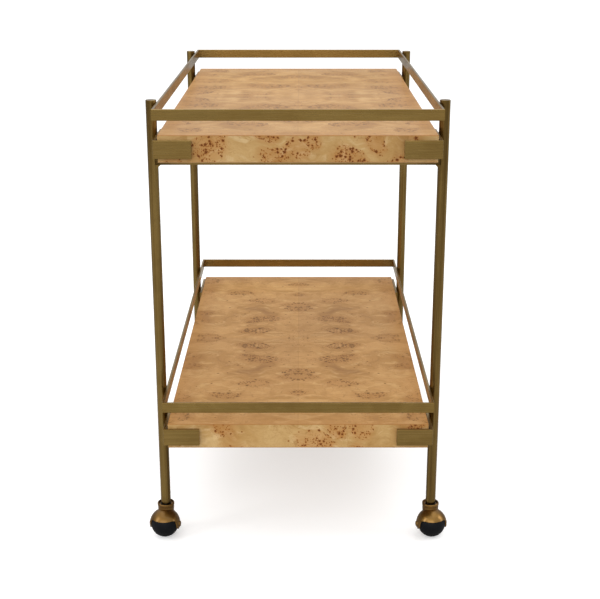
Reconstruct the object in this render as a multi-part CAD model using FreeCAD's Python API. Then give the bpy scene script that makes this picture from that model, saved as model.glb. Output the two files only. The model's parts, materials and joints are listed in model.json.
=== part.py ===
import FreeCAD, Part
import math
import os

# Bar cart: four round posts carry two thick veneered shelves, a flat-bar gallery rail
# round each shelf, and four hooded ball casters.
# Millimetres. X runs across the cart (right is +X), Y along it (front is -Y), Z up.
# The origin is on the floor under the middle of the cart.

# ---- Frame
post_spacing_x = 490.0          # post centre to post centre, across
frame_length = 914.0            # over the end rails
end_overhang = 76.0             # from each end rail's face in to the post centres
post_diameter = 18.0
post_wall = 1.5
post_rise = 4.5                 # the caps stand this far above the upper rail
rail_height = 18.5
rail_thickness = 4.0
rail_gap = 24.5                 # clear height between a shelf and the rail above it
bar_edge_radius = 0.6           # softened edges of every flat bar
crossbar_size = 16.0            # square tube under the shelves
crossbar_wall = 1.5

# ---- Shelves
upper_shelf_top = 757.0
lower_shelf_top = 248.5
shelf_thickness = 45.0
veneer_thickness = 0.6
shelf_gap = 2.4                 # clear gap between the wood and the corner brackets

# ---- Corner brackets
bracket_height = 30.0
bracket_thickness = 5.0
bracket_end_leg = 63.0          # on the end face of the shelf
bracket_past_post = 39.0        # how far the side leg runs past the post centre

# ---- Welds
weld_start = 1.8                # where a bead begins, off the line of contact
weld_reach = 5.2                # where the bead ends
weld_toe = 1.2                  # its feathered toe on the flat bar
weld_cover = 0.3                # how far it laps up the round post
crossbar_weld_leg = 4.5
crossbar_weld_inset = 1.5

# ---- Shelf screws, up through the crossbars' top walls
screw_offset_x = 150.0
screw_diameter = 4.5
screw_hole_clearance = 0.3      # radial, in the crossbar and the bottom veneer
screw_bite = 26.0               # length in the wood
screw_head_diameter = 9.0
screw_head_height = 2.8
screw_access_diameter = 12.0    # hole in the crossbar's underside: the head sits inside the tube

# ---- Post ends
cap_plate = 2.5
cap_spigot_length = 10.0
cap_edge_radius = 0.7
insert_length = 30.0

# ---- Casters
wheel_radius = 25.4
wheel_flat = 2.5                # depth of the flat on each side of the ball
caster_trail = 12.0             # wheel centre behind the swivel axis
caster_turn = 8.0               # degrees, the trail turned outwards at rest
hood_clearance = 0.7            # between the ball and its hood
hood_wall = 2.0
hood_lip = 13.1                 # front and back lip above the axle
cheek_half_width = 11.0
cheek_centre = 1.5              # centre of the round cheek end, above the axle
cheek_fillet = 7.5              # where the cheek sweeps up into the lip
neck_radius = 14.8
neck_length = 4.5               # straight part under the bearing cup
neck_foot_radius = 14.0         # the neck leans forward and narrows into the dome
neck_foot_inset = 0.6           # inside the dome's rear lip
neck_rise = 2.8                 # above the dome's top
cup_radius = 15.4
cup_height = 6.0
cup_floor = 2.7
cup_mouth_radius = 13.4
cup_rim_radius = 1.6
swivel_gap = 0.3                # between what turns and what stays
swivel_pin_radius = 4.5
swivel_pin_fit = 0.05           # radial running clearance
swivel_pin_depth = 4.7          # below the top of the neck
washer_radius = 9.8
washer_thickness = 1.5
stem_shoulder_lap = 0.8         # the stem's shoulder laps this far under the tube's wall
post_entry = 1.0                # the post reaches this far into the cup's mouth
stud_radius = 4.0
stud_length = 25.0
clip_depth = 3.5                # its underside, below the top of the neck
clip_thickness = 1.2
clip_groove_radius = 3.7
clip_radius = 5.5
clip_gap = 3.0                  # opening of the snap ring
clip_play = 0.05                # between the clip and its groove in the pin
core_radius = 9.0
boss_radius = 6.5
boss_play = 0.35                # between each boss and the inside of the hood
axle_radius = 2.5
axle_fit = 0.05                 # radial running clearance in the wheel
axle_seat_depth = 0.7           # flats cut into the cheeks
axle_seat_margin = 0.3
axle_head_radius = 5.75
axle_head_height = 2.9
axle_end_radius = 3.8
axle_end_height = 1.2

# ---- Values that follow from the sizes above
post_x = post_spacing_x / 2
post_y = frame_length / 2 - end_overhang
post_radius = post_diameter / 2
post_bore_radius = post_radius - post_wall
post_top = upper_shelf_top + rail_gap + rail_height + post_rise
bar_face_x = post_x - post_radius
bar_face_y = frame_length / 2
shelf_half_x = bar_face_x - bracket_thickness - shelf_gap
shelf_half_y = bar_face_y - bracket_thickness - shelf_gap
hood_inner_radius = wheel_radius + hood_clearance
hood_outer_radius = hood_inner_radius + hood_wall
wheel_half_width = wheel_radius - wheel_flat
boss_half_width = math.sqrt(hood_inner_radius ** 2 - boss_radius ** 2) - boss_play
axle_seat = hood_outer_radius - axle_seat_depth
neck_top = wheel_radius + hood_outer_radius + neck_rise
swivel_pin_end = neck_top - swivel_pin_depth
swivel_bore_end = swivel_pin_end - swivel_gap
clip_low = neck_top - clip_depth
cup_top = neck_top + cup_height
cup_floor_top = neck_top + cup_floor
washer_low = cup_floor_top + swivel_gap
washer_top = washer_low + washer_thickness
post_bottom = cup_top - post_entry
stem_shoulder_radius = post_bore_radius + stem_shoulder_lap
bracket_side_leg = end_overhang + bracket_past_post
swivel_bore_radius = swivel_pin_radius + swivel_pin_fit
crossbar_hole_radius = screw_diameter / 2 + screw_hole_clearance
screw_places = (-screw_offset_x, 0.0, screw_offset_x)
left_right = (("left", -1), ("right", 1))
front_rear = (("front", -1), ("rear", 1))
shelf_levels = (("upper", upper_shelf_top), ("lower", lower_shelf_top))


# ---- Small helpers
def save(name, solids):
    """Write one node; several solids go in as a group."""
    shape = solids[0] if len(solids) == 1 else Part.makeCompound(solids)
    shape.exportStep("parts/" + name + ".step")


def box(x, y, z):
    """A block between three pairs of bounds, given in either order."""
    low = FreeCAD.Vector(min(x), min(y), min(z))
    return Part.makeBox(max(x) - low.x, max(y) - low.y, max(z) - low.z, low)


def upright(radius, low, high, x=0.0, y=0.0):
    """A vertical cylinder from low to high."""
    return Part.makeCylinder(radius, high - low, FreeCAD.Vector(x, y, low))


def across(radius, start, end):
    """A cylinder along X."""
    low = min(start, end)
    return Part.makeCylinder(radius, abs(end - start), FreeCAD.Vector(low, 0, 0), FreeCAD.Vector(1, 0, 0))


def extruded(outline, direction):
    """A prism from a closed outline of corner points."""
    corners = [FreeCAD.Vector(*point) for point in outline]
    wire = Part.makePolygon(corners + corners[:1])
    return Part.Face(wire).extrude(FreeCAD.Vector(*direction))


def placed_at_post(shape, turn, sx, sy):
    """Turn a caster piece about its swivel axis and set it under a post."""
    moved = shape.copy()
    moved.rotate(FreeCAD.Vector(0, 0, 0), FreeCAD.Vector(0, 0, 1), turn)
    moved.translate(FreeCAD.Vector(sx * post_x, sy * post_y, 0))
    return moved


def every_corner():
    """The four posts as (name, side across, side along)."""
    return [(fr + "_" + lr, sx, sy) for fr, sy in front_rear for lr, sx in left_right]


def post_bar(sx, sy):
    """The full round of a post, used to cope what meets it."""
    return upright(post_radius, 0.0, post_top, sx * post_x, sy * post_y)


# ---- Posts, caps and threaded inserts
def make_posts():
    tube_top = post_top - cap_plate
    tube = upright(post_radius, post_bottom, tube_top).cut(upright(post_bore_radius, post_bottom, tube_top))
    plate = upright(post_radius, tube_top, post_top)
    rim = [edge for edge in plate.Edges if edge.BoundBox.ZMin > tube_top]
    plate = plate.makeFillet(cap_edge_radius, rim)
    cap = plate.fuse(upright(post_bore_radius, tube_top - cap_spigot_length, tube_top)).removeSplitter()
    insert = upright(post_bore_radius, post_bottom, post_bottom + insert_length)
    insert = insert.cut(upright(stud_radius, post_bottom, post_bottom + insert_length))
    for name, sx, sy in every_corner():
        save("post_" + name, [placed_at_post(tube, 0.0, sx, sy)])
    save("post_caps", [placed_at_post(cap, 0.0, sx, sy) for name, sx, sy in every_corner()])
    save("post_inserts", [placed_at_post(insert, 0.0, sx, sy) for name, sx, sy in every_corner()])


# ---- Gallery rails: four mitred flat bars round each shelf
def mitred_rail(corners, low):
    rail = extruded([(x, y, low) for x, y in corners], (0, 0, rail_height))
    long_edges = [edge for edge in rail.Edges if edge.Length > 2 * rail_height]
    return rail.makeFillet(bar_edge_radius, long_edges)


def make_rails():
    inner_x = bar_face_x - rail_thickness
    inner_y = bar_face_y - rail_thickness
    for level, shelf_top in shelf_levels:
        low = shelf_top + rail_gap
        for end, sy in front_rear:
            corners = [(-bar_face_x, sy * bar_face_y), (bar_face_x, sy * bar_face_y)]
            corners += [(inner_x, sy * inner_y), (-inner_x, sy * inner_y)]
            save(level + "_rail_" + end, [mitred_rail(corners, low)])
        for side, sx in left_right:
            corners = [(sx * bar_face_x, -bar_face_y), (sx * bar_face_x, bar_face_y)]
            corners += [(sx * inner_x, inner_y), (sx * inner_x, -inner_y)]
            save(level + "_rail_" + side, [mitred_rail(corners, low)])


# ---- Corner brackets: a flat bar bent round each shelf corner
def bracket_low(shelf_top):
    return shelf_top - (shelf_thickness + bracket_height) / 2


def make_brackets():
    inner_x = bar_face_x - bracket_thickness
    inner_y = bar_face_y - bracket_thickness
    for level, shelf_top in shelf_levels:
        low = bracket_low(shelf_top)
        for name, sx, sy in every_corner():
            outline = [(bar_face_x, bar_face_y), (bar_face_x, bar_face_y - bracket_side_leg)]
            outline += [(inner_x, bar_face_y - bracket_side_leg), (inner_x, inner_y)]
            outline += [(bar_face_x - bracket_end_leg, inner_y), (bar_face_x - bracket_end_leg, bar_face_y)]
            bracket = extruded([(sx * x, sy * y, low) for x, y in outline], (0, 0, bracket_height))
            save(level + "_bracket_" + name, [bracket.makeFillet(bar_edge_radius, bracket.Edges)])


# ---- Crossbars: square tube between each pair of posts, coped to their round
def make_crossbars():
    half = crossbar_size / 2
    inside = half - crossbar_wall
    for level, shelf_top in shelf_levels:
        middle = shelf_top - shelf_thickness - half
        for end, sy in front_rear:
            y = sy * post_y
            tube = box((-post_x, post_x), (y - half, y + half), (middle - half, middle + half))
            hollow = box((-post_x, post_x), (y - inside, y + inside), (middle - inside, middle + inside))
            tube = tube.cut(hollow)
            for x in screw_places:
                tube = tube.cut(upright(crossbar_hole_radius, middle + inside, middle + half, x, y))
                tube = tube.cut(upright(screw_access_diameter / 2, middle - half, middle - inside, x, y))
            for side, sx in left_right:
                tube = tube.cut(post_bar(sx, sy))
            save(level + "_crossbar_" + end, [tube])


# ---- Shelves: a core faced with veneer on every side
def make_shelves():
    full_x = (-shelf_half_x, shelf_half_x)
    full_y = (-shelf_half_y, shelf_half_y)
    core_x = (-shelf_half_x + veneer_thickness, shelf_half_x - veneer_thickness)
    core_y = (-shelf_half_y + veneer_thickness, shelf_half_y - veneer_thickness)
    for level, top in shelf_levels:
        bottom = top - shelf_thickness
        core_z = (bottom + veneer_thickness, top - veneer_thickness)
        core = box(core_x, core_y, core_z)
        band = box(full_x, full_y, core_z).cut(core)
        bottom_veneer = box(full_x, full_y, (bottom, core_z[0]))
        for x in screw_places:
            for end, sy in front_rear:
                y = sy * post_y
                core = core.cut(upright(screw_diameter / 2, bottom, bottom + screw_bite, x, y))
                bottom_veneer = bottom_veneer.cut(upright(crossbar_hole_radius, bottom, core_z[0], x, y))
        save(level + "_shelf_core", [core])
        save(level + "_shelf_edge_veneer", [band])
        save(level + "_shelf_bottom_veneer", [bottom_veneer])
        save(level + "_shelf_top_veneer", [box(full_x, full_y, (core_z[1], top))])


def make_shelf_screws():
    screws = []
    for level, top in shelf_levels:
        bottom = top - shelf_thickness
        head_top = bottom - crossbar_wall
        for end, sy in front_rear:
            for x in screw_places:
                y = sy * post_y
                head = upright(screw_head_diameter / 2, head_top - screw_head_height, head_top, x, y)
                rim = [edge for edge in head.Edges if edge.BoundBox.ZMax < head_top]
                head = head.makeFillet(screw_head_height / 2, rim)
                screws.append(head.fuse(upright(screw_diameter / 2, head_top, bottom + screw_bite, x, y)))
    save("shelf_screws", screws)


# ---- Weld beads: where flat bars touch a post, and under the ends of the crossbars
def bar_weld(sx, sy, side, low, height):
    lap = post_radius - math.sqrt(post_radius ** 2 - weld_reach ** 2) + weld_cover
    outline = [(0, weld_start), (0, weld_reach + weld_toe), (lap, weld_reach), (lap, weld_start)]
    corners = [(sx * (bar_face_x + x), sy * post_y + side * y, low) for x, y in outline]
    return extruded(corners, (0, 0, height)).cut(post_bar(sx, sy))


def crossbar_weld(sx, sy, top):
    half = crossbar_size / 2 - crossbar_weld_inset
    outline = [(bar_face_x - crossbar_weld_leg, top), (post_x, top)]
    outline += [(post_x, top - crossbar_weld_leg), (bar_face_x, top - crossbar_weld_leg)]
    corners = [(sx * x, sy * post_y - half, z) for x, z in outline]
    return extruded(corners, (0, 2 * half, 0)).cut(post_bar(sx, sy))


def make_welds():
    beads = []
    for level, shelf_top in shelf_levels:
        for name, sx, sy in every_corner():
            for side in (-1, 1):
                beads.append(bar_weld(sx, sy, side, shelf_top + rail_gap, rail_height))
                beads.append(bar_weld(sx, sy, side, bracket_low(shelf_top), bracket_height))
            beads.append(crossbar_weld(sx, sy, shelf_top - shelf_thickness - crossbar_size))
    save("weld_beads", beads)


# ---- Casters. Each is made about its own swivel axis, trailing towards -Y, its axle along X.
ball_centre = FreeCAD.Vector(0, -caster_trail, wheel_radius)


def at_ball(shape):
    """Move a shape made about the wheel's centre to its place on the caster."""
    moved = shape.copy()
    moved.translate(ball_centre)
    return moved


def cheek_outline():
    """Side view of what the hood keeps: a level lip that sweeps down into two round cheeks."""
    reach = 2 * hood_outer_radius
    bend = cheek_half_width + cheek_fillet
    diagonal = cheek_fillet * math.sqrt(0.5)

    def point(y, z):
        return FreeCAD.Vector(-reach, y, z)

    def line(start, end):
        return Part.LineSegment(start, end).toShape()

    def arc(start, middle, end):
        return Part.Arc(start, middle, end).toShape()

    edges = []
    for side in (-1, 1):
        corner = point(side * cheek_half_width, hood_lip - cheek_fillet)
        sweep = point(side * (bend - diagonal), hood_lip - cheek_fillet + diagonal)
        edges.append(line(point(side * cheek_half_width, cheek_centre), corner))
        edges.append(arc(corner, sweep, point(side * bend, hood_lip)))
        edges.append(line(point(side * bend, hood_lip), point(side * reach, hood_lip)))
        edges.append(line(point(side * reach, hood_lip), point(side * reach, reach)))
    edges.append(line(point(-reach, reach), point(reach, reach)))
    cheek_ends = [point(side * cheek_half_width, cheek_centre) for side in (-1, 1)]
    edges.append(arc(cheek_ends[0], point(0, cheek_centre - cheek_half_width), cheek_ends[1]))
    wire = Part.Wire(Part.__sortEdges__(edges))
    return Part.Face(wire).extrude(FreeCAD.Vector(2 * reach, 0, 0))


def make_hood(inner_side):
    dome = at_ball(Part.makeSphere(hood_outer_radius).common(cheek_outline()))
    lip_radius = math.sqrt(hood_outer_radius ** 2 - hood_lip ** 2)
    neck_low = neck_top - neck_length
    foot_y = ball_centre.y + lip_radius - neck_foot_inset - neck_foot_radius
    foot = Part.makeCircle(neck_foot_radius, FreeCAD.Vector(0, foot_y, ball_centre.z + hood_lip))
    head = Part.makeCircle(neck_radius, FreeCAD.Vector(0, 0, neck_low))
    leaning_neck = Part.makeLoft([Part.Wire(foot), Part.Wire(head)], True, True)
    hood = dome.fuse(leaning_neck).fuse(upright(neck_radius, neck_low, neck_top))
    hood = hood.cut(at_ball(Part.makeSphere(hood_inner_radius)))
    hood = hood.cut(upright(swivel_bore_radius, swivel_bore_end, neck_top))
    clip_room = clip_radius + swivel_gap
    hood = hood.cut(upright(clip_room, clip_low - swivel_gap, clip_low + clip_thickness + swivel_gap))
    hood = hood.cut(at_ball(across(axle_radius, -hood_outer_radius, hood_outer_radius)))
    for side, head_radius in ((inner_side, axle_head_radius), (-inner_side, axle_end_radius)):
        seat_end = side * (hood_outer_radius + hood_wall)
        seat = across(head_radius + axle_seat_margin, side * axle_seat, seat_end)
        hood = hood.cut(at_ball(seat))
    return hood.removeSplitter()


def make_bearing_cup():
    cup = upright(cup_radius, neck_top, cup_top)
    cup = cup.cut(upright(cup_mouth_radius, cup_floor_top, cup_top))
    outer_edges = [edge for edge in cup.Edges if edge.BoundBox.XLength > 2 * cup_radius - 0.1]
    rounded = [edge for edge in outer_edges if edge.Closed and edge.BoundBox.ZLength < 0.1]
    cup = cup.makeFillet(cup_rim_radius, rounded)
    return cup.cut(upright(swivel_bore_radius, neck_top, cup_floor_top))


def make_axle(inner_side):
    axle = across(axle_radius, -axle_seat, axle_seat)
    ends = [(inner_side, axle_head_radius, axle_head_height)]
    ends.append((-inner_side, axle_end_radius, axle_end_height))
    for side, radius, height in ends:
        head = across(radius, side * axle_seat, side * (axle_seat + height))
        rims = [edge for edge in head.Edges if edge.Closed]
        outer = [edge for edge in rims if abs(edge.CenterOfMass.x) > axle_seat + height / 2]
        axle = axle.fuse(head.makeFillet(height * 0.7, outer))
    return at_ball(axle.removeSplitter())


def make_tyre():
    """A ball with flat sides and a bore for its core, turned about the axle."""
    side_radius = math.sqrt(wheel_radius ** 2 - wheel_half_width ** 2)
    inner_left = FreeCAD.Vector(-wheel_half_width, core_radius, 0)
    inner_right = FreeCAD.Vector(wheel_half_width, core_radius, 0)
    outer_right = FreeCAD.Vector(wheel_half_width, side_radius, 0)
    outer_left = FreeCAD.Vector(-wheel_half_width, side_radius, 0)
    edges = [Part.makeLine(inner_left, inner_right), Part.makeLine(inner_right, outer_right)]
    edges.append(Part.Arc(outer_right, FreeCAD.Vector(0, wheel_radius, 0), outer_left).toShape())
    edges.append(Part.makeLine(outer_left, inner_left))
    section = Part.Face(Part.Wire(edges))
    return at_ball(section.revolve(FreeCAD.Vector(0, 0, 0), FreeCAD.Vector(1, 0, 0), 360))


def make_wheel_core():
    core = across(core_radius, -wheel_half_width, wheel_half_width)
    core = core.fuse(across(boss_radius, -boss_half_width, boss_half_width))
    return at_ball(core.cut(across(axle_radius + axle_fit, -wheel_radius, wheel_radius)).removeSplitter())


def make_stem():
    stem = upright(swivel_pin_radius, swivel_pin_end, washer_top)
    groove_low = clip_low - clip_play
    groove_top = clip_low + clip_thickness + clip_play
    groove = upright(swivel_pin_radius + 1.0, groove_low, groove_top)
    stem = stem.cut(groove.cut(upright(clip_groove_radius, groove_low, groove_top)))
    stem = stem.fuse(upright(stem_shoulder_radius, washer_top, post_bottom))
    return stem.fuse(upright(stud_radius, post_bottom, post_bottom + stud_length)).removeSplitter()


def make_thrust_washer():
    washer = upright(washer_radius, washer_low, washer_top)
    return washer.cut(upright(swivel_pin_radius, washer_low, washer_top))


def make_stem_clip():
    clip = upright(clip_radius, clip_low, clip_low + clip_thickness)
    clip = clip.cut(upright(clip_groove_radius, clip_low, clip_low + clip_thickness))
    opening = box((-clip_gap / 2, clip_gap / 2), (0, 2 * clip_radius), (clip_low, clip_low + clip_thickness))
    return clip.cut(opening)


def make_casters():
    stems = []
    washers = []
    clips = []
    for name, sx, sy in every_corner():
        turn = sx * caster_turn
        inner_side = -sx
        pieces = {"hood": make_hood(inner_side), "bearing_cup": make_bearing_cup()}
        pieces["axle"] = make_axle(inner_side)
        pieces["wheel_core"] = make_wheel_core()
        pieces["tyre"] = make_tyre()
        for piece, shape in pieces.items():
            save("caster_" + name + "_" + piece, [placed_at_post(shape, turn, sx, sy)])
        stems.append(placed_at_post(make_stem(), turn, sx, sy))
        washers.append(placed_at_post(make_thrust_washer(), turn, sx, sy))
        clips.append(placed_at_post(make_stem_clip(), turn, sx, sy))
    save("caster_stems", stems)
    save("thrust_washers", washers)
    save("stem_clips", clips)


os.makedirs("parts", exist_ok=True)
make_posts()
make_rails()
make_brackets()
make_crossbars()
make_shelves()
make_shelf_screws()
make_welds()
make_casters()
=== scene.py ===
import math

import bmesh
import bpy
from mathutils import Matrix, Vector
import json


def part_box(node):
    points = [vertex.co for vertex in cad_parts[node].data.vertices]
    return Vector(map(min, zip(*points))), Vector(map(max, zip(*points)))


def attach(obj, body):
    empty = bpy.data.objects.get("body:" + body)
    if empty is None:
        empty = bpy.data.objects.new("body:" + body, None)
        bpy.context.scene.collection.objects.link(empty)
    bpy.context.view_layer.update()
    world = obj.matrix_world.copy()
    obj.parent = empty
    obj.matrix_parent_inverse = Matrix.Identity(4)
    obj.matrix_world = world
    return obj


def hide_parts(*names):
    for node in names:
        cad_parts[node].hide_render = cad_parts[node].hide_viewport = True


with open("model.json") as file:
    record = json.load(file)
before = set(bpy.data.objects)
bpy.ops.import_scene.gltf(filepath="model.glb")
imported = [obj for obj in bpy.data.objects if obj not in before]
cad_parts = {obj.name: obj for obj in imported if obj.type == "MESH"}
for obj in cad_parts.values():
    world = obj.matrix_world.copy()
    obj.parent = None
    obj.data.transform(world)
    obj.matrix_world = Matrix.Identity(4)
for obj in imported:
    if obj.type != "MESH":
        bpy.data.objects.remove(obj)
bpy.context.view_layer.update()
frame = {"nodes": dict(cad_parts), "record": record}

# A two-shelf bar cart: brass-finished posts, rails and brackets, burl-veneered shelves and
# four hooded ball casters. Every new piece takes its place from the CAD node it stands for.

MM = 0.001
LEVELS = ("upper", "lower")
CORNERS = {"front_left": (-1, -1), "front_right": (1, -1), "rear_left": (-1, 1), "rear_right": (1, 1)}
joints = {joint["name"]: joint for joint in frame["record"]["behaviour"]["joints"]}


# ------------------------------------------------------------------ camera, floor and lights

LENS = 71.4
CAMERA_PLACE = (0.0033, -2.3667, 1.0917)
CAMERA_DIP = 17.76       # degrees below level
FLOOR_RADIUS = 40
FLOOR_DROP = 0.0003      # keeps the floor clear of the wheels


def make_camera():
    """Looks down the cart's length from in front of its end, a little above the upper shelf."""
    data = bpy.data.cameras.new("camera")
    data.lens = LENS
    camera = bpy.data.objects.new("camera", data)
    bpy.context.scene.collection.objects.link(camera)
    camera.location = CAMERA_PLACE
    camera.rotation_euler = (math.radians(90 - CAMERA_DIP), 0, 0)
    bpy.context.scene.camera = camera


def show_camera(tree, usual, shown, output):
    """Uses one shader for the light that reaches the cart and shows another to the camera."""
    pick = tree.nodes.new("ShaderNodeMixShader")
    path = tree.nodes.new("ShaderNodeLightPath")
    tree.links.new(path.outputs["Is Camera Ray"], pick.inputs[0])
    tree.links.new(usual.outputs[0], pick.inputs[1])
    tree.links.new(shown.outputs[0], pick.inputs[2])
    tree.links.new(pick.outputs[0], tree.nodes[output].inputs["Surface"])


def make_floor():
    """A wide pale floor that melts into the background and throws little light up at the cart."""
    sheet = bmesh.new()
    bmesh.ops.create_circle(sheet, cap_ends=True, segments=96, radius=FLOOR_RADIUS)
    mesh = bpy.data.meshes.new("studio_floor")
    sheet.to_mesh(mesh)
    sheet.free()
    floor = bpy.data.objects.new("studio_floor", mesh)
    bpy.context.scene.collection.objects.link(floor)
    floor.location.z = -FLOOR_DROP
    paint = bpy.data.materials.new("pale_floor")
    paint.use_nodes = True
    tree = paint.node_tree
    seen = tree.nodes["Principled BSDF"]
    seen.inputs["Base Color"].default_value = (0.84, 0.84, 0.84, 1)
    seen.inputs["Emission Color"].default_value = (1, 1, 1, 1)
    seen.inputs["Emission Strength"].default_value = 0.36
    seen.inputs["Roughness"].default_value = 0.85
    seen.inputs["Specular IOR Level"].default_value = 0.2
    reflected = tree.nodes.new("ShaderNodeBsdfDiffuse")
    reflected.inputs["Color"].default_value = (0.50, 0.49, 0.47, 1)
    show_camera(tree, reflected, seen, "Material Output")
    mesh.materials.append(paint)


def softbox(name, place, aim, width, height, power, colour=(1, 1, 1)):
    data = bpy.data.lights.new(name, "AREA")
    data.shape = "RECTANGLE"
    data.size = width
    data.size_y = height
    data.energy = power
    data.color = colour
    lamp = bpy.data.objects.new(name, data)
    bpy.context.scene.collection.objects.link(lamp)
    lamp.location = place
    lamp.visible_camera = False
    lamp.rotation_euler = (Vector(aim) - Vector(place)).to_track_quat("-Z", "Y").to_euler()


def make_lights():
    """Broad light from the front and top, and weaker light from the back.

    The air at both sides is darker, so that metal shows form.
    """
    softbox("top_softbox", (0, 0.2, 3.4), (0, 0, 0.3), 3.6, 4.2, 30)
    softbox("front_softbox", (-0.8, -4.4, 2.4), (0, 0, 0.4), 4.2, 2.4, 62)
    softbox("left_softbox", (-3.0, -1.6, 1.9), (0, 0, 0.5), 1.0, 2.2, 26)
    softbox("right_softbox", (3.2, -0.4, 1.7), (0, 0, 0.5), 0.9, 2.0, 22, (1, 0.97, 0.93))
    world = bpy.data.worlds.new("studio")
    bpy.context.scene.world = world
    world.use_nodes = True
    tree = world.node_tree
    air = tree.nodes["Background"]
    direction = tree.nodes.new("ShaderNodeTexCoord")
    axes = tree.nodes.new("ShaderNodeSeparateXYZ")
    tree.links.new(direction.outputs["Generated"], axes.inputs[0])

    def ramp(value, low, high, start, end):
        node = tree.nodes.new("ShaderNodeMapRange")
        for name, number in (("From Min", low), ("From Max", high), ("To Min", start), ("To Max", end)):
            node.inputs[name].default_value = number
        tree.links.new(value, node.inputs["Value"])
        return node.outputs[0]

    def calculate(operation, first, second):
        node = tree.nodes.new("ShaderNodeMath")
        node.operation = operation
        for value, socket in ((first, node.inputs[0]), (second, node.inputs[1])):
            if isinstance(value, float):
                socket.default_value = value
            else:
                tree.links.new(value, socket)
        return node.outputs[0]

    low_air = calculate("MULTIPLY", ramp(axes.outputs[1], -0.9, 0.6, 1.0, 0.50),
                        ramp(calculate("ABSOLUTE", axes.outputs[0], 0.0), 0.25, 0.90, 1.0, 0.24))
    high = ramp(axes.outputs[2], 0.10, 0.60, 0.0, 1.0)
    lift = calculate("MULTIPLY", high, calculate("SUBTRACT", 1.05, low_air))
    tree.links.new(calculate("ADD", low_air, lift), air.inputs["Strength"])
    air.inputs["Color"].default_value = (1, 1, 1, 1)
    seen = tree.nodes.new("ShaderNodeBackground")
    seen.inputs["Color"].default_value = (1, 1, 1, 1)
    show_camera(tree, air, seen, "World Output")
    bpy.context.scene.view_settings.view_transform = "Standard"


# ------------------------------------------------------------------ material building

class Recipe:
    """A procedural material being put together: nodes are added and linked in one call."""

    def __init__(self, name):
        self.material = bpy.data.materials.new(name)
        self.material.use_nodes = True
        self.tree = self.material.node_tree
        self.shader = self.tree.nodes["Principled BSDF"]

    def join(self, value, socket):
        if isinstance(value, bpy.types.NodeSocket):
            self.tree.links.new(value, socket)
        else:
            socket.default_value = value

    def add(self, kind, inputs, **settings):
        node = self.tree.nodes.new(kind)
        for name, value in settings.items():
            setattr(node, name, value)
        for key, value in inputs.items():
            self.join(value, node.inputs[key])
        return node

    def place(self):
        return self.add("ShaderNodeTexCoord", {}).outputs["Object"]

    def stretch(self, vector, scale):
        return self.add("ShaderNodeMapping", {"Vector": vector, "Scale": scale}).outputs[0]

    def vector(self, operation, a, b=None):
        inputs = {0: a} if b is None else {0: a, 1: b}
        return self.add("ShaderNodeVectorMath", inputs, operation=operation).outputs[0]

    def math(self, operation, a, b=0.0):
        return self.add("ShaderNodeMath", {0: a, 1: b}, operation=operation).outputs[0]

    def noise(self, vector, scale, detail=3.0, rough=0.5, twist=0.0):
        inputs = {"Vector": vector, "Scale": scale, "Detail": detail, "Roughness": rough, "Distortion": twist}
        return self.add("ShaderNodeTexNoise", inputs)

    def cells(self, vector, scale):
        inputs = {"Vector": vector, "Scale": scale, "Randomness": 1.0}
        return self.add("ShaderNodeTexVoronoi", inputs, voronoi_dimensions="2D")

    def span(self, value, low, high, start=0.0, end=1.0):
        """Smoothly carries low..high over to start..end."""
        inputs = {"Value": value, "From Min": low, "From Max": high, "To Min": start, "To Max": end}
        return self.add("ShaderNodeMapRange", inputs, interpolation_type="SMOOTHSTEP").outputs[0]

    def blend(self, amount, first, second):
        node = self.tree.nodes.new("ShaderNodeMix")
        node.data_type = "RGBA"
        self.join(amount, node.inputs[0])
        self.join(first, node.inputs[6])
        self.join(second, node.inputs[7])
        return node.outputs[2]

    def relief(self, height, strength, distance):
        node = self.add("ShaderNodeBump", {"Height": height, "Strength": strength, "Distance": distance})
        self.tree.links.new(node.outputs[0], self.shader.inputs["Normal"])

    def finish(self, **inputs):
        for name, value in inputs.items():
            self.join(value, self.shader.inputs[name.replace("_", " ")])
        return self.material


def rgb(red, green, blue):
    return (red, green, blue, 1.0)


def brushed_brass(name, grain, bands=(3.0, 3.0, 3.0), depth=0.25, shade=1.0):
    """Antique brass under satin lacquer, brushed along one axis.

    grain is the stretch of the brush lines. bands is the stretch of the broad darker and lighter streaks,
    and depth how strong they are. Where depth is small the streaks are patina; the strong upright streaks
    of the posts' copy are painted reflection and painted shade bands. shade scales every tone, and the
    posts' darker copy is painted shade.
    """
    make = Recipe(name)
    place = make.place()

    def tone_of(red, green, blue):
        return rgb(shade * red, shade * green, shade * blue)

    lines = make.noise(make.stretch(place, grain), 1.0, 4.0, 0.62).outputs["Fac"]
    fine = make.noise(make.stretch(place, tuple(2.7 * g for g in grain)), 1.0, 2.0, 0.6).outputs["Fac"]
    patina = make.noise(place, 14.0, 4.0, 0.6, 0.4).outputs["Fac"]
    streak = make.noise(make.stretch(place, bands), 1.0, 2.0, 0.5).outputs["Fac"]
    tone = make.blend(make.span(patina, 0.35, 0.7), tone_of(0.345, 0.226, 0.066), tone_of(0.255, 0.160, 0.042))
    # Broad darker and lighter streaks: patina where depth is small, painted reflection and shade bands where
    # it is large (the posts).
    tone = make.blend(make.span(streak, 0.42, 0.62, 0.0, depth), tone, tone_of(0.120, 0.066, 0.014))
    tone = make.blend(make.span(streak, 0.28, 0.44, 0.5 * depth, 0.0), tone, tone_of(0.42, 0.30, 0.12))
    tone = make.blend(make.span(lines, 0.3, 0.7, 0.0, 0.50), tone, tone_of(0.152, 0.092, 0.022))
    tone = make.blend(make.span(fine, 0.5, 0.75, 0.0, 0.35), tone, tone_of(0.46, 0.32, 0.12))
    grain_rough = make.span(lines, 0.3, 0.7, 0.22, 0.33)
    rough = make.math("ADD", grain_rough, make.span(patina, 0.3, 0.7, -0.03, 0.05))
    make.relief(make.math("ADD", lines, make.math("MULTIPLY", fine, 0.5)), 0.12, 0.00003)
    return make.finish(Base_Color=tone, Metallic=1.0, Roughness=rough, Coat_Weight=0.15, Coat_Roughness=0.25)


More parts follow.
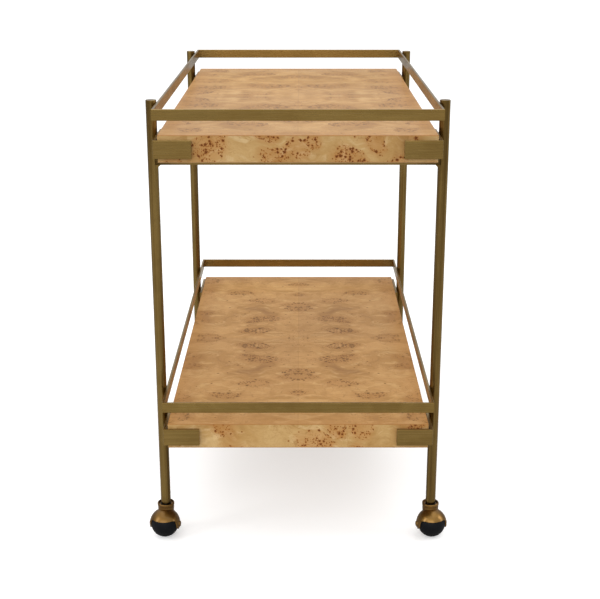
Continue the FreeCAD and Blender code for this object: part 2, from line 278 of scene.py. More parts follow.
def cast_brass(name):
    """Plated caster metal: warmer and smoother, worn paler where the patina is rubbed thin."""
    make = Recipe(name)
    place = make.place()
    patina = make.noise(place, 28.0, 3.0, 0.5, 0.3).outputs["Fac"]
    skin = make.noise(place, 900.0, 3.0, 0.6).outputs["Fac"]
    tone = make.blend(make.span(patina, 0.3, 0.7), rgb(0.238, 0.128, 0.029), rgb(0.162, 0.082, 0.017))
    tone = make.blend(make.span(skin, 0.45, 0.75, 0.0, 0.25), tone, rgb(0.120, 0.062, 0.018))
    rough = make.span(patina, 0.3, 0.7, 0.36, 0.44)
    make.relief(skin, 0.2, 0.00004)
    return make.finish(Base_Color=tone, Metallic=1.0, Roughness=rough, Coat_Weight=0.3, Coat_Roughness=0.14)


EYES_PER_METRE = 185.0
STRAY_EYES_PER_METRE = 110.0


class Burl(Recipe):
    """Poplar burl veneer under satin lacquer: cloudy ground, pale swirls, and rings of small dark eyes."""

    def __init__(self, name, tones, crowd, eye_size=1.0, spread=(1, 1, 1)):
        super().__init__(name)
        self.tones = tones
        self.crowd = crowd
        self.eye_size = eye_size
        self.spread = spread
        self.spot = self.place()
        self.axes = self.add("ShaderNodeSeparateXYZ", {0: self.spot}).outputs

    def scaled(self, vector, factor):
        node = self.add("ShaderNodeVectorMath", {0: vector}, operation="SCALE")
        self.join(factor, node.inputs["Scale"])
        return node.outputs[0]

    def eyes(self, where, scale, amount, size):
        """Small dark knots, one to a cell at most. Returns (eye, halo round it)."""
        cell = self.cells(where, scale)
        chance = self.add("ShaderNodeSeparateColor", {0: cell.outputs["Color"]}).outputs
        present = self.math("LESS_THAN", chance[0], amount)
        radius = self.span(chance[1], 0.1, 1.0, 0.38 * size, 1.1 * size)
        near = self.math("DIVIDE", cell.outputs["Distance"], radius)
        eye = self.math("MULTIPLY", self.span(near, 0.55, 1.1, 1.0, 0.0), present)
        halo = self.math("MULTIPLY", self.span(near, 0.7, 2.3, 1.0, 0.0), present)
        return eye, halo

    def figure(self, where, clump):
        """The veneer's colour and the height of its grain at a place in the sheet.

        clump is clusters of eyes per metre.
        """
        warp = self.noise(where, 9.0, 3.0, 0.55).outputs["Color"]
        off = self.scaled(self.vector("SUBTRACT", warp, (0.5, 0.5, 0.5)), 0.075)
        bent = self.vector("ADD", where, off)
        cloud = self.noise(bent, 13.0, 4.0, 0.55, 0.6).outputs["Fac"]
        swirl = self.noise(self.stretch(bent, (1.0, 2.2, 1.6)), 17.0, 4.0, 0.55, 1.6).outputs["Fac"]
        fibre = self.noise(self.stretch(bent, (1.0, 3.0, 2.0)), 120.0, 4.0, 0.62, 0.8).outputs["Fac"]

        clusters = self.cells(self.stretch(bent, self.spread), clump)
        pick = self.add("ShaderNodeSeparateColor", {0: clusters.outputs["Color"]}).outputs
        reach = self.span(pick[1], 0.0, 1.0, 0.22, 0.40)
        inside = self.math("DIVIDE", clusters.outputs["Distance"], reach)
        hollow = self.span(inside, 0.42, 0.70, self.span(pick[2], 0.45, 0.55), 1.0)
        cluster = self.math("MULTIPLY", self.span(inside, 0.75, 1.15, 1.0, 0.0), hollow)
        cluster = self.math("MULTIPLY", cluster, self.math("LESS_THAN", pick[0], self.crowd))
        patchy = self.span(self.noise(bent, 60.0, 1.0).outputs["Fac"], 0.30, 0.48)
        cluster = self.math("MULTIPLY", cluster, patchy)

        wobble = self.scaled(self.noise(where, 420.0, 1.0).outputs["Color"], 0.0030)
        near = self.vector("ADD", where, wobble)
        pitch = EYES_PER_METRE / self.eye_size
        big, big_halo = self.eyes(near, pitch, self.math("MULTIPLY", cluster, 0.85), 0.42)
        small, small_halo = self.eyes(near, 2.1 * pitch, self.math("MULTIPLY", cluster, 0.62), 0.40)
        stray, stray_halo = self.eyes(near, STRAY_EYES_PER_METRE, 0.035, 0.20)
        vein = self.noise(bent, 38.0, 3.0, 0.5, 0.9).outputs["Fac"]
        vein = self.span(self.math("ABSOLUTE", self.math("SUBTRACT", vein, 0.5)), 0.0, 0.012, 1.0, 0.0)

        tones = self.tones
        colour = self.blend(self.span(cloud, 0.38, 0.62), tones["pale"], tones["deep"])
        colour = self.blend(self.span(swirl, 0.50, 0.72, 0.0, 0.60), colour, tones["swirl"])
        colour = self.blend(self.span(cloud, 0.56, 0.72, 0.0, 0.70), colour, tones["shadow"])
        colour = self.blend(self.span(swirl, 0.28, 0.42, 0.40, 0.0), colour, tones["shadow"])
        colour = self.blend(self.span(fibre, 0.44, 0.74, 0.0, 0.34), colour, tones["shadow"])
        glow = self.span(inside, 0.7, 1.6, 1.0, 0.0)
        glow = self.math("MULTIPLY", glow, self.math("LESS_THAN", pick[0], self.crowd))
        colour = self.blend(self.math("MULTIPLY", glow, 0.34), colour, tones["blush"])
        streak = self.math("MULTIPLY", vein, self.span(inside, 0.9, 2.2, 0.75, 0.18))
        colour = self.blend(streak, colour, tones["shadow"])
        halo = self.math("MAXIMUM", self.math("MAXIMUM", big_halo, small_halo), stray_halo)
        colour = self.blend(self.math("MULTIPLY", halo, 0.55), colour, tones["blush"])
        eye = self.math("MAXIMUM", self.math("MAXIMUM", big, self.math("MULTIPLY", small, 0.8)), stray)
        colour = self.blend(self.math("MULTIPLY", eye, 0.90), colour, tones["eye"])
        height = self.math("SUBTRACT", self.math("MULTIPLY", fibre, 0.3), eye)
        return colour, height

    def lacquer(self, colour, height, gloss):
        self.relief(height, 0.12, 0.00008)
        self.finish(Base_Color=colour, Roughness=0.45, Specular_IOR_Level=0.12)
        return self.finish(Specular_Tint=rgb(1.0, 0.74, 0.45), Coat_Weight=gloss, Coat_Roughness=0.18)


TOP_TONES = {
    "pale": (0.565, 0.315, 0.112), "deep": (0.450, 0.236, 0.070), "swirl": (0.690, 0.440, 0.188),
    "shadow": (0.300, 0.142, 0.042), "blush": (0.365, 0.160, 0.036), "eye": (0.130, 0.058, 0.010),
}
EDGE_TONES = {
    "pale": (0.545, 0.352, 0.148), "deep": (0.460, 0.272, 0.098), "swirl": (0.700, 0.515, 0.275),
    "shadow": (0.345, 0.180, 0.058), "blush": (0.420, 0.160, 0.036), "eye": (0.120, 0.026, 0.005),
}


def tinted(tones, factor):
    """Every tone of a veneer made lighter or darker by one factor; on the shelf tops this is painted light."""
    return {name: rgb(*(min(1.0, factor * part) for part in tone)) for name, tone in tones.items()}


SEAM = 0.0003        # half width of the joint between two leaves
WORN_RIM = 0.060     # the sheet's tone warms this far in from its edges


def top_veneer(name, node, lift, shade, gloss):
    """Four leaves, book-matched about both centre lines of the shelf."""
    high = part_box(node)[1]
    # Painted light: shade lightens the lower top and darkens the upper, making up for the shade the upper
    # shelf casts on the lower.
    tones = tinted(TOP_TONES, shade)
    make = Burl(name, tones, 0.60, 1.4, (0.62, 1.0, 1.0))
    x, y = make.axes[0], make.axes[1]
    folded = make.vector("ADD", make.vector("ABSOLUTE", make.spot), lift)
    colour, height = make.figure(folded, 13.5)
    # The four leaves differ a little in tone: painted sheen, as mirrored grain catches the light differently
    # from leaf to leaf.
    leaf_x = make.span(x, -SEAM, SEAM, -1.0, 1.0)
    leaf_y = make.span(y, -SEAM, SEAM, -0.4, 1.0)
    leaf = make.math("MULTIPLY", leaf_x, leaf_y)
    colour = make.blend(make.span(leaf, -1.0, 1.0, 0.0, 0.12), colour, rgb(0.26, 0.14, 0.065))
    seam = make.math("MINIMUM", make.math("ABSOLUTE", x), make.math("ABSOLUTE", y))
    colour = make.blend(make.span(seam, 0.0001, 0.0007, 0.4, 0.0), colour, tones["shadow"])
    inset_x = make.math("SUBTRACT", high.x, make.math("ABSOLUTE", x))
    inset_y = make.math("SUBTRACT", high.y, make.math("ABSOLUTE", y))
    inset = make.math("MINIMUM", inset_x, inset_y)
    colour = make.blend(make.span(inset, 0.0, WORN_RIM, 0.35, 0.0), colour, rgb(0.52, 0.25, 0.075))
    colour = make.blend(make.span(inset, 0.0002, 0.0016, 0.75, 0.0), colour, rgb(0.34, 0.150, 0.046))
    return make.lacquer(colour, height, gloss)


def edge_veneer(name, node, lift, shade, leaf, start):
    """Edge sheets laid end to end round the shelf, each leaf cut from another part of the log.

    leaf is a sheet's length and start the place of the first joint.
    """
    low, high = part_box(node)
    tones = tinted(EDGE_TONES, shade)
    make = Burl(name, tones, 0.86, 1.2)
    z = make.axes[2]
    along = make.math("ADD", make.axes[0], make.axes[1])
    count = make.math("FLOOR", make.math("DIVIDE", make.math("SUBTRACT", along, start), leaf))
    spot = make.add("ShaderNodeCombineXYZ", {0: along, 1: z, 2: 0.0}).outputs[0]
    shift = make.scaled((0.371, 0.613, 0.127), count)
    colour, height = make.figure(make.vector("ADD", make.vector("ADD", spot, lift), shift), 15.0)
    part = make.math("FRACT", make.math("DIVIDE", make.math("SUBTRACT", along, start), leaf))
    joint = make.math("MULTIPLY", make.math("MINIMUM", part, make.math("SUBTRACT", 1.0, part)), leaf)
    colour = make.blend(make.span(joint, 0.0001, 0.0005, 0.4, 0.0), colour, tones["shadow"])
    rim = make.math("MINIMUM", make.math("SUBTRACT", z, low.z), make.math("SUBTRACT", high.z, z))
    colour = make.blend(make.span(rim, 0.0002, 0.0014, 0.62, 0.0), colour, rgb(0.36, 0.16, 0.05))
    return make.lacquer(colour, height, 0.08)


def plain_veneer(name):
    """Backing veneer on the undersides: straight-grained and matt."""
    make = Recipe(name)
    place = make.place()
    grain = make.noise(make.stretch(place, (160.0, 4.0, 160.0)), 1.0, 5.0, 0.6, 0.8).outputs["Fac"]
    broad = make.noise(make.stretch(place, (14.0, 1.5, 14.0)), 1.0, 3.0).outputs["Fac"]
    tone = make.blend(make.span(grain, 0.3, 0.7), rgb(0.47, 0.29, 0.145), rgb(0.36, 0.205, 0.095))
    tone = make.blend(make.span(broad, 0.4, 0.7, 0.0, 0.4), tone, rgb(0.30, 0.17, 0.08))
    make.relief(grain, 0.2, 0.00006)
    return make.finish(Base_Color=tone, Roughness=0.6)


def dark_steel(name):
    """Blackened steel, blotched where the finish has taken unevenly."""
    make = Recipe(name)
    place = make.place()
    blot = make.noise(place, 240.0, 4.0, 0.6).outputs["Fac"]
    tone = make.blend(make.span(blot, 0.35, 0.7), rgb(0.060, 0.055, 0.048), rgb(0.110, 0.098, 0.080))
    make.relief(blot, 0.15, 0.00004)
    return make.finish(Base_Color=tone, Metallic=1.0, Roughness=make.span(blot, 0.3, 0.7, 0.34, 0.5))


def black_wheel(name, tone, roughness, speckle):
    """Moulded black rubber or nylon with a fine satin skin and a trace of dust."""
    make = Recipe(name)
    place = make.place()
    skin = make.noise(place, 1400.0, 3.0, 0.6).outputs["Fac"]
    dust = make.noise(place, 70.0, 4.0, 0.65, 0.5).outputs["Fac"]
    colour = make.blend(make.span(dust, 0.5, 0.8, 0.0, speckle), tone, rgb(0.040, 0.041, 0.044))
    make.relief(skin, 0.25, 0.00004)
    rough = make.span(dust, 0.3, 0.75, roughness, roughness + 0.12)
    return make.finish(Base_Color=colour, Roughness=rough, Specular_IOR_Level=0.12)


# ------------------------------------------------------------------ mesh building

def turned(profile, steps=64):
    """A solid turned about Z from a closed or axis-to-axis chain of (radius, height) points."""
    work = bmesh.new()
    verts = [work.verts.new((radius, 0, height)) for radius, height in profile]
    edges = [work.edges.new(pair) for pair in zip(verts, verts[1:])]
    if profile[0][0] > 0 and profile[-1][0] > 0:
        edges.append(work.edges.new((verts[-1], verts[0])))
    bmesh.ops.spin(work, geom=verts + edges, axis=(0, 0, 1), cent=(0, 0, 0), angle=2 * math.pi,
                   steps=steps, use_merge=True)
    bmesh.ops.remove_doubles(work, verts=work.verts, dist=0.01 * MM)
    return work


def arc(centre, radius, start, end, steps=8):
    """Points (radius, height) round part of a circle, angles in degrees."""
    turns = [math.radians(start + (end - start) * i / steps) for i in range(steps + 1)]
    return [(centre[0] + radius * math.cos(a), centre[1] + radius * math.sin(a)) for a in turns]


def block(low, high):
    """A plain block between two corners, to be shaped further."""
    work = bmesh.new()
    bmesh.ops.create_cube(work, size=1)
    bmesh.ops.scale(work, vec=Vector(high) - Vector(low), verts=work.verts)
    bmesh.ops.translate(work, vec=(Vector(high) + Vector(low)) / 2, verts=work.verts)
    return work


def soften(work, edges, width, segments=3):
    """Rounds edges off."""
    bmesh.ops.bevel(work, geom=list(edges), offset=width, offset_type="OFFSET", segments=segments,
                    profile=0.5, affect="EDGES", material=-1, clamp_overlap=True)


def crease_edges(work, least=40):
    """Edges where two faces turn by more than this many degrees."""
    return [e for e in work.edges if len(e.link_faces) == 2 and e.calc_face_angle(0) > math.radians(least)]


def length_edges(work, axis):
    """Edges that run along one axis (0, 1 or 2)."""
    found = []
    for edge in work.edges:
        run = edge.verts[1].co - edge.verts[0].co
        if abs(run[axis]) > 0.9 * run.length:
            found.append(edge)
    return found


def stand_at(work, centre):
    """Carries a shape turned about Z to an upright axis through a point."""
    bmesh.ops.translate(work, vec=(centre.x, centre.y, 0), verts=work.verts)


def raise_faces(work, faces, height):
    """Draws level faces straight up into a solid."""
    raised = bmesh.ops.extrude_face_region(work, geom=faces)["geom"]
    tops = [v for v in raised if isinstance(v, bmesh.types.BMVert)]
    bmesh.ops.translate(work, vec=(0, 0, height), verts=tops)
    bmesh.ops.recalc_face_normals(work, faces=work.faces)


def add_to(shapes, work):
    """Moves one bmesh's geometry into another, so that repeated pieces share an object."""
    carrier = bpy.data.meshes.new("carrier")
    work.to_mesh(carrier)
    work.free()
    shapes.from_mesh(carrier)
    bpy.data.meshes.remove(carrier)


def finish_piece(name, work, material, body, nodes, smooth_below=13):
    """Turns a bmesh into a shown piece that rides on a body and stands for its CAD nodes.

    Faces that meet at less than smooth_below degrees shade as one.
    """
    bmesh.ops.recalc_face_normals(work, faces=work.faces)
    mesh = bpy.data.meshes.new(name)
    work.to_mesh(mesh)
    work.free()
    mesh.shade_smooth()
    mesh.set_sharp_from_angle(angle=math.radians(smooth_below))
    mesh.materials.append(material)
    piece = bpy.data.objects.new(name, mesh)
    bpy.context.scene.collection.objects.link(piece)
    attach(piece, body)
    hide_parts(*nodes)
    return piece


def merged_copy(node):
    """The CAD node's mesh as one joined surface."""
    work = bmesh.new()
    work.from_mesh(frame["nodes"][node].data)
    bmesh.ops.remove_doubles(work, verts=work.verts, dist=0.002 * MM)
    return work


def solids(node):
    """The box of each separate solid in a CAD node, as (low, high)."""
    work = merged_copy(node)
    left = set(work.verts)
    boxes = []
    while left:
        todo = [left.pop()]
        group = list(todo)
        while todo:
            for edge in todo.pop().link_edges:
                for vert in edge.verts:
                    if vert in left:
                        left.remove(vert)
                        todo.append(vert)
                        group.append(vert)
        low = Vector(min(v.co[i] for v in group) for i in range(3))
        high = Vector(max(v.co[i] for v in group) for i in range(3))
        boxes.append((low, high))
    work.free()
    return sorted(boxes, key=lambda pair: tuple(round(c, 5) for c in pair[0]))


def keep_node(node, material):
    """A CAD node that stays as it is, with a better finish."""
    mesh = frame["nodes"][node].data
    mesh.materials.clear()
    mesh.materials.append(material)


# ------------------------------------------------------------------ finishes

brass_x = brushed_brass("brass_brushed_across", (7.0, 900.0, 900.0), (2.5, 30.0, 30.0))
brass_y = brushed_brass("brass_brushed_along", (900.0, 7.0, 900.0), (30.0, 2.5, 30.0))
# The posts' brass (also caps and weld beads): its darker tones (0.86) and strong upright streaks are painted
# shade and painted reflection bands.
brass_z = brushed_brass("brass_brushed_upright", (900.0, 900.0, 7.0), (135.0, 135.0, 0.8), 0.85, 0.86)
brass_cast = cast_brass("brass_plated_caster")
steel = dark_steel("darkened_steel")
rubber = black_wheel("black_rubber", rgb(0.0040, 0.0045, 0.0058), 0.46, 0.10)
nylon = black_wheel("black_nylon", rgb(0.008, 0.008, 0.009), 0.5, 0.10)
backing = plain_veneer("backing_veneer")


# ------------------------------------------------------------------ frame

BAR_SOFT = 0.6 * MM           # softened edges of flat bar
HAIRLINE = 0.12 * MM          # parting line where two parts meet
BRACKET_THICKNESS = 5.0 * MM
BEND_RADIUS = 1.4 * MM        # outside corner of a bracket
POST_WALL = 1.5 * MM
POST_FOOT = 0.35 * MM         # chamfer at the foot of a post
CAP_PLATE = 2.5 * MM
CAP_SOFT = 0.8 * MM           # rounded rim of a cap
CAP_INSET = 1.55 * MM         # the tube's wall, and the play of the cap's spigot in it
CROSSBAR_WALL = 1.5 * MM
CROSSBAR_SOFT = 1.0 * MM
ACCESS_RADIUS = 6.0 * MM      # holes in the crossbars' undersides, for the screwdriver
SCREW_HEAD = 2.8 * MM         # height of the head
SCREW_SHANK = 2.2 * MM        # radius
SOCKET_DEPTH = 1.5 * MM


def make_rails():
    """Flat bars that meet in mitres at the corners."""
    for level in LEVELS:
        for side in ("front", "rear", "left", "right"):
            node = level + "_rail_" + side
            low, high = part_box(node)
            run, thick = (0, 1) if side in ("front", "rear") else (1, 0)
            depth = high[thick] - low[thick]
            middle = (high[thick] + low[thick]) / 2
            work = block(low, high)
            for vert in work.verts:
                if abs(vert.co[thick]) < abs(middle):
                    vert.co[run] -= math.copysign(depth, vert.co[run])
            soften(work, length_edges(work, run), BAR_SOFT)
            ends = [f for f in work.faces if abs(f.normal[run]) > 0.3 and abs(f.normal[thick]) > 0.3]
            rims = {e for f in ends for e in f.edges if abs(f.normal[run]) > 0.6 and abs(f.normal[2]) < 0.1}
            soften(work, rims, HAIRLINE, 1)
            finish_piece(node + "_bar", work, (brass_x, brass_y)[run], "cart_frame", [node])


def make_brackets():
    """Flat bars bent round the corners of the shelves, outer faces in line with the rails."""
    for level in LEVELS:
        for corner, (sx, sy) in CORNERS.items():
            node = level + "_bracket_" + corner
            low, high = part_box(node)
            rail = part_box(level + "_rail_left" if sx < 0 else level + "_rail_right")
            outer = Vector((rail[0].x if sx < 0 else rail[1].x, rail[0].y if sy < 0 else rail[1].y, 0))
            end_leg, side_leg = high.x - low.x, high.y - low.y
            thick = BRACKET_THICKNESS
            path = [(0, 0), (end_leg, 0), (end_leg, thick), (thick, thick), (thick, side_leg), (0, side_leg)]
            work = bmesh.new()
            verts = [work.verts.new((outer.x - sx * x, outer.y - sy * y, low.z)) for x, y in path]
            face = work.faces.new(verts)
            raise_faces(work, [face], high.z - low.z)
            bend = [e for e in length_edges(work, 2) if (e.verts[0].co.xy - outer.xy).length < MM]
            soften(work, bend, BEND_RADIUS, 6)
            soften(work, crease_edges(work, 60), BAR_SOFT * 0.8)
            finish_piece(node + "_bar", work, brass_x, "cart_frame", [node])


def make_posts():
    """Round tubes, with a flat cap pressed into the top of each."""
    for corner in CORNERS:
        node = "post_" + corner
        low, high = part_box(node)
        radius = (high.x - low.x) / 2
        bore = radius - POST_WALL
        tube = [(bore, low.z), (radius - POST_FOOT, low.z), (radius, low.z + POST_FOOT)]
        tube += [(radius, high.z - HAIRLINE), (radius - HAIRLINE, high.z), (bore, high.z)]
        work = turned(tube)
        stand_at(work, (low + high) / 2)
        finish_piece(node + "_tube", work, brass_z, "cart_frame", [node])
    shapes = bmesh.new()
    for low, high in solids("post_caps"):
        radius = (high.x - low.x) / 2
        spigot = radius - CAP_INSET
        seat = high.z - CAP_PLATE
        cap = [(0, low.z), (spigot, low.z), (spigot, seat)]
        cap += [(radius - HAIRLINE, seat), (radius, seat + HAIRLINE)]
        cap += arc((radius - CAP_SOFT, high.z - CAP_SOFT), CAP_SOFT, 0, 90) + [(0, high.z)]
        work = turned(cap)
        stand_at(work, (low + high) / 2)
        add_to(shapes, work)
    finish_piece("post_cap_discs", shapes, brass_z, "cart_frame", ["post_caps"])


def open_hole(work, x, y, z, radius):
    """Opens a round hole in a flat level wall at height z."""
    half = 1.25 * radius
    cuts = [((1, 0, 0), (x + side, 0, z)) for side in (-half, half)]
    cuts += [((0, 1, 0), (0, y + side, z)) for side in (-half, half)]
    for normal, at in cuts:
        wall = [f for f in work.faces if all(abs(v.co.z - z) < 0.01 * MM for v in f.verts)]
        parts = set(wall) | {e for f in wall for e in f.edges} | {v for f in wall for v in f.verts}
        bmesh.ops.bisect_plane(work, geom=list(parts), dist=0.001 * MM, plane_co=at, plane_no=normal)
    patch = [f for f in work.faces if (f.calc_center_median() - Vector((x, y, z))).length < 0.2 * MM]
    corners = list({e for f in patch for e in f.edges})
    bmesh.ops.delete(work, geom=patch, context="FACES_ONLY")
    centre = Matrix.Translation((x, y, z))
    rim = bmesh.ops.create_circle(work, segments=24, radius=radius, matrix=centre)["verts"]
    ring = list({e for v in rim for e in v.link_edges})
    bmesh.ops.bridge_loops(work, edges=corners + ring)


def make_crossbars():
    """Square tubes under the shelves, with a hole below each screw."""
    screws = solids("shelf_screws")
    for level in LEVELS:
        for end in ("front", "rear"):
            node = level + "_crossbar_" + end
            low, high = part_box(node)
            work = block(low, high)
            ends = [f for f in work.faces if abs(f.normal.x) > 0.9]
            bmesh.ops.delete(work, geom=ends, context="FACES_ONLY")
            soften(work, length_edges(work, 0), CROSSBAR_SOFT, 4)
            for screw_low, screw_high in screws:
                middle = (screw_low + screw_high) / 2
                if low.y < middle.y < high.y and low.z - 5 * MM < screw_low.z < high.z:
                    open_hole(work, middle.x, middle.y, low.z, ACCESS_RADIUS)
            tube = finish_piece(node + "_tube", work, brass_x, "cart_frame", [node])
            wall = tube.modifiers.new("wall", "SOLIDIFY")
            wall.thickness = CROSSBAR_WALL
            wall.offset = -1


def make_screws():
    """Button-head screws with a hexagon socket."""
    shapes = bmesh.new()
    for low, high in solids("shelf_screws"):
        radius = (high.x - low.x) / 2
        seat = low.z + SCREW_HEAD
        head = [(0, low.z), (radius * 0.45, low.z)]
        for turn in (0.75, 1.0, 1.25, 1.5):
            head.append((radius * math.sin(turn), low.z + SCREW_HEAD * (1 - math.cos(turn)) * 0.8))
        head += [(radius, seat), (SCREW_SHANK, seat), (SCREW_SHANK, high.z), (0, high.z)]
        work = turned(head, 36)
        under = [f for f in work.faces if f.normal.z < -0.9 and f.calc_center_median().z < low.z + 0.1 * MM]
        socket = bmesh.ops.extrude_face_region(work, geom=under)["geom"]
        deep = [v for v in socket if isinstance(v, bmesh.types.BMVert)]
        bmesh.ops.delete(work, geom=under, context="FACES_KEEP_BOUNDARY")
        bmesh.ops.translate(work, vec=(0, 0, SOCKET_DEPTH), verts=deep)
        for vert in work.verts:
            reach = math.hypot(vert.co.x, vert.co.y)
            if 0.1 * MM < reach < radius * 0.5 and vert.co.z < low.z + SOCKET_DEPTH + 0.1 * MM:
                turn = math.atan2(vert.co.y, vert.co.x) % (math.pi / 3) - math.pi / 6
                side = radius * 0.40 / math.cos(turn)
                vert.co.x *= side / reach
                vert.co.y *= side / reach
        stand_at(work, (low + high) / 2)
        add_to(shapes, work)
    finish_piece("shelf_screw_set", shapes, steel, "cart_frame", ["shelf_screws"])


# ------------------------------------------------------------------ shelves

ARRIS = 0.42 * MM        # softened rims of a veneered board
EDGE_LIFT = (0.9, 0.4, 0.0)
# The tops' shade is painted light: the lower top is lightened and the upper darkened so both look as bright
# under the upper shelf's shade.
SHELF_LOOKS = {
    "upper": {"lift": (0.31, 0.73, 0.0), "shade": 0.94, "gloss": 0.18,
              "edge_shade": 0.87, "leaf": 0.36, "start": -0.2696},
    "lower": {"lift": (1.37, 0.22, 0.0), "shade": 1.06, "gloss": 0.08,
              "edge_shade": 1.0, "leaf": 0.30, "start": -0.3626},
}


def level_corners(work, low, high, z):
    """A closed loop of edges round a level rectangle."""
    ring = [(low.x, low.y), (high.x, low.y), (high.x, high.y), (low.x, high.y)]
    verts = [work.verts.new((x, y, z)) for x, y in ring]
    return [work.edges.new(pair) for pair in zip(verts, verts[1:] + verts[:1])]


def make_sheet(node, name, material, side):
    """A level sheet of veneer, its rim softened on the upper (1) or the lower (-1) side."""
    low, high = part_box(node)
    middle = (low.z + high.z) / 2
    work = block(low, high)
    rim = [e for e in work.edges if all(side * v.co.z > side * middle for v in e.verts)]
    soften(work, rim, ARRIS, 4)
    finish_piece(name, work, material, "cart_frame", [node])


def make_edge_band(node, core, name, material):
    """The veneer that runs round the four sides of a board."""
    low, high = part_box(node)
    core_low, core_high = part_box(core)
    work = bmesh.new()
    loops = level_corners(work, core_low, core_high, low.z) + level_corners(work, low, high, low.z)
    foot = bmesh.ops.bridge_loops(work, edges=loops)["faces"]
    raise_faces(work, foot, high.z - low.z)
    uprights = [e for e in length_edges(work, 2) if abs(e.verts[0].co.x) > core_high.x + 0.1 * MM]
    soften(work, uprights, ARRIS, 4)
    finish_piece(name, work, material, "cart_frame", [node])


def make_shelves():
    for level, look in SHELF_LOOKS.items():
        stem = level + "_shelf_"
        node = stem + "top_veneer"
        top = top_veneer(level + "_top_burl", node, look["lift"], look["shade"], look["gloss"])
        make_sheet(node, stem + "top_sheet", top, 1)
        node = stem + "edge_veneer"
        sheets = (look["edge_shade"], look["leaf"], look["start"])
        edge = edge_veneer(level + "_edge_burl", node, EDGE_LIFT, *sheets)
        make_edge_band(node, stem + "core", stem + "edge_band", edge)
        make_sheet(stem + "bottom_veneer", stem + "bottom_sheet", backing, -1)
        keep_node(stem + "core", backing)


# ------------------------------------------------------------------ casters

def caster_frames(corner):
    """Two placings for a caster's pieces: about the wheel's centre (axle along X) and about the stem."""
    spin = joints["wheel_" + corner + "_spin"]
    swivel = joints["caster_" + corner + "_swivel"]
    axle = Vector(spin["axis"]).normalized()
    up = Vector((0, 0, 1))
    turn = Matrix((axle, up.cross(axle), up)).transposed().to_4x4()
    stem = Vector(swivel["pos_m"])
    stem.z = 0
    return Matrix.Translation(Vector(spin["pos_m"])) @ turn, Matrix.Translation(stem) @ turn


ALONG_X = Matrix.Rotation(math.radians(90), 4, "Y")
HOOD_LIP = 0.35 * MM
CUP_WALL = 2.0 * MM
CUP_FLOOR = 2.7 * MM
CUP_BORE = 4.55 * MM
CUP_RIM = 1.5 * MM            # rounded outer rims
CUP_MOUTH = 0.5 * MM          # rounded inner rim
AXLE_SEAT = 27.4 * MM         # where the axle's heads bear on the hood
PIN_RADIUS = 2.5 * MM
PEENED_END = ((0, 1.2), (3.0, 1.2), (3.6, 0.8), (3.8, 0.3), (3.8, 0.0))   # (radius, height) in mm
HEAD_RADIUS = 5.75 * MM
HEAD_EDGE = 0.5 * MM
HEAD_RISE = 2.9 * MM
BALL_FLAT = 22.9 * MM         # half the ball's width over its flats
FLAT_CHAMFER = 0.3 * MM
MOULD_LINE = 0.22 * MM        # depth of the line round the ball's middle
MOULD_HALF_WIDTH = 0.4 * MM
CORE_RADIUS = 9.0 * MM
CORE_INSET = 0.2 * MM         # the core's face lies this far inside the ball's flat
BOSS_RADIUS = 6.5 * MM
BOSS_HALF = 24.9 * MM
BOSS_SOFT = 0.5 * MM
HUB_BORE = 2.55 * MM


def make_hood(corner):
    """The cast hood over the ball, with its lip rolled."""
    node = "caster_" + corner + "_hood"
    work = merged_copy(node)
    shell = finish_piece(node + "_shell", work, brass_cast, "caster_" + corner, [node], 24)
    lip = shell.modifiers.new("rolled_lip", "BEVEL")
    lip.width = HOOD_LIP
    lip.segments = 2
    lip.limit_method = "ANGLE"
    lip.angle_limit = math.radians(50)


def make_cup(corner, stem_frame):
    """The open ring on top of the hood, which the post's foot stands in."""
    node = "caster_" + corner + "_bearing_cup"
    low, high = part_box(node)
    radius = (high.x - low.x) / 2
    mouth = radius - CUP_WALL
    floor = low.z + CUP_FLOOR
    cup = [(CUP_BORE, low.z)] + arc((radius - CUP_RIM, low.z + CUP_RIM), CUP_RIM, -90, 0)
    cup += [(radius, high.z - CUP_RIM)] + arc((radius - CUP_RIM, high.z - CUP_RIM), CUP_RIM, 0, 90)[1:]
    cup += arc((mouth + CUP_MOUTH, high.z - CUP_MOUTH), CUP_MOUTH, 90, 180)
    cup += [(mouth, floor), (CUP_BORE, floor)]
    work = turned(cup)
    bmesh.ops.transform(work, matrix=stem_frame, verts=work.verts)
    finish_piece(node + "_ring", work, brass_cast, "caster_" + corner, [node])


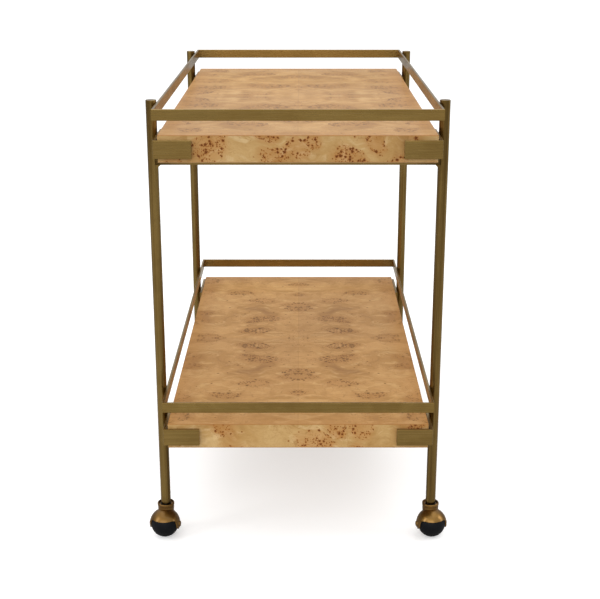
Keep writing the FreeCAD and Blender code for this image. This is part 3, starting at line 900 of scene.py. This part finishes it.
def make_axle(corner, axle_frame):
    """A plain pin with a domed head on the cart's inner side and a smaller peened end outside."""
    node = "caster_" + corner + "_axle"
    profile = [(radius * MM, -AXLE_SEAT - height * MM) for radius, height in PEENED_END]
    profile += [(PIN_RADIUS, -AXLE_SEAT), (PIN_RADIUS, AXLE_SEAT), (HEAD_RADIUS, AXLE_SEAT)]
    profile.append((HEAD_RADIUS, AXLE_SEAT + HEAD_EDGE))
    for degrees in range(12, 91, 13):
        turn = math.radians(degrees)
        rise = HEAD_EDGE + (HEAD_RISE - HEAD_EDGE) * math.sin(turn)
        profile.append((HEAD_RADIUS * math.cos(turn), AXLE_SEAT + rise))
    profile.append((0, AXLE_SEAT + HEAD_RISE))
    work = turned(profile, 48)
    on_left = CORNERS[corner][0] < 0
    flip = Matrix.Identity(4) if on_left else Matrix.Rotation(math.pi, 4, "Z")
    bmesh.ops.transform(work, matrix=axle_frame @ flip @ ALONG_X, verts=work.verts)
    finish_piece(node + "_pin", work, brass_cast, "caster_" + corner, [node])


def make_wheel(corner, axle_frame):
    """The ball tread with its moulding line, and the nylon core with its hubs."""
    body = "wheel_" + corner
    node = "caster_" + corner + "_tyre"
    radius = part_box(node)[1].z / 2
    limit = math.degrees(math.acos(BALL_FLAT / radius))
    tread = [(height, along) for along, height in arc((0, 0), radius, limit, 180 - limit, 44)]
    tread = [(r - MOULD_LINE if abs(h) < MOULD_HALF_WIDTH else r, h) for r, h in tread]
    profile = [(CORE_RADIUS, BALL_FLAT), (tread[0][0] - FLAT_CHAMFER, BALL_FLAT)] + tread[1:-1]
    profile += [(tread[-1][0] - FLAT_CHAMFER, -BALL_FLAT), (CORE_RADIUS, -BALL_FLAT)]
    work = turned(profile, 72)
    bmesh.ops.transform(work, matrix=axle_frame @ ALONG_X, verts=work.verts)
    finish_piece(node + "_ball", work, rubber, body, [node])

    node = "caster_" + corner + "_wheel_core"
    face = BALL_FLAT - CORE_INSET
    half = [(HUB_BORE, BOSS_HALF), (BOSS_RADIUS - BOSS_SOFT, BOSS_HALF), (BOSS_RADIUS, BOSS_HALF - BOSS_SOFT)]
    half += [(BOSS_RADIUS, face), (CORE_RADIUS, face)]
    profile = half + [(r, -h) for r, h in reversed(half)]
    work = turned(profile, 48)
    bmesh.ops.transform(work, matrix=axle_frame @ ALONG_X, verts=work.verts)
    finish_piece(node + "_hub", work, nylon, body, [node])


def make_casters():
    for corner in CORNERS:
        axle_frame, stem_frame = caster_frames(corner)
        make_hood(corner)
        make_cup(corner, stem_frame)
        make_axle(corner, axle_frame)
        make_wheel(corner, axle_frame)


make_camera()
make_floor()
make_lights()
make_rails()
make_brackets()
make_posts()
make_crossbars()
make_screws()
make_shelves()
make_casters()
keep_node("weld_beads", brass_z)
for hidden in ("post_inserts", "caster_stems", "thrust_washers", "stem_clips"):
    keep_node(hidden, steel)
